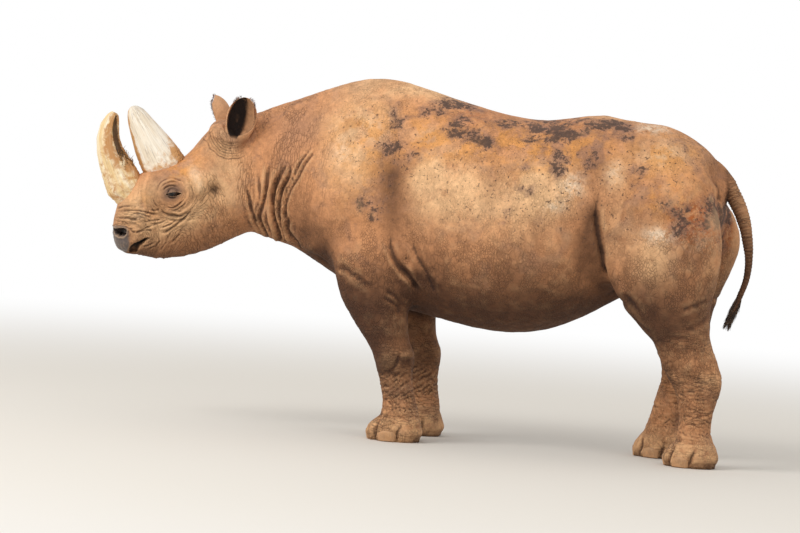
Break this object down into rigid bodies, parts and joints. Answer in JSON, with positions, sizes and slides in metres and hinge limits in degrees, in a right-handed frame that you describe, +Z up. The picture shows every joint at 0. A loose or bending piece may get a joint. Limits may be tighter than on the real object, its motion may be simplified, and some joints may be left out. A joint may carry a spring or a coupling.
{
  "type": "rhinoceros",
  "caption": "Standing black rhinoceros with a hooked upper lip, curved horns, cupped ears, folded neck and hanging tail, its head turned slightly to its left.",
  "frame": {"origin": "on the floor under the middle of the animal's outer box", "axes": "+X towards the tail, -X the way it faces, -Y its left side, +Z up"},
  "size_m": [2.8974, 0.8282, 1.5831],
  "materials": {
    "hide": "dusty, wrinkled grey-brown hide with tan and dark mud stains",
    "horn": "worn cream horn with ochre stains at the base",
    "eye": "wet, dark brown",
    "toenail": "dusty grey-brown horn"
  },
  "bodies": {
    "root": {"head": "hide", "neck": "hide", "trunk": "hide", "tail": "hide", "leg_front_left": "hide", "leg_front_right": "hide", "leg_hind_left": "hide", "leg_hind_right": "hide", "ear_left": "hide", "ear_right": "hide", "horn_front": "horn", "horn_rear": "horn", "eye_left": "eye", "eye_right": "eye", "nail_front_left_1": "toenail", "nail_front_left_2": "toenail", "nail_front_left_3": "toenail", "nail_front_right_1": "toenail", "nail_front_right_2": "toenail", "nail_front_right_3": "toenail", "nail_hind_left_1": "toenail", "nail_hind_left_2": "toenail", "nail_hind_left_3": "toenail", "nail_hind_right_1": "toenail", "nail_hind_right_2": "toenail", "nail_hind_right_3": "toenail"}
  },
  "joints": []
}
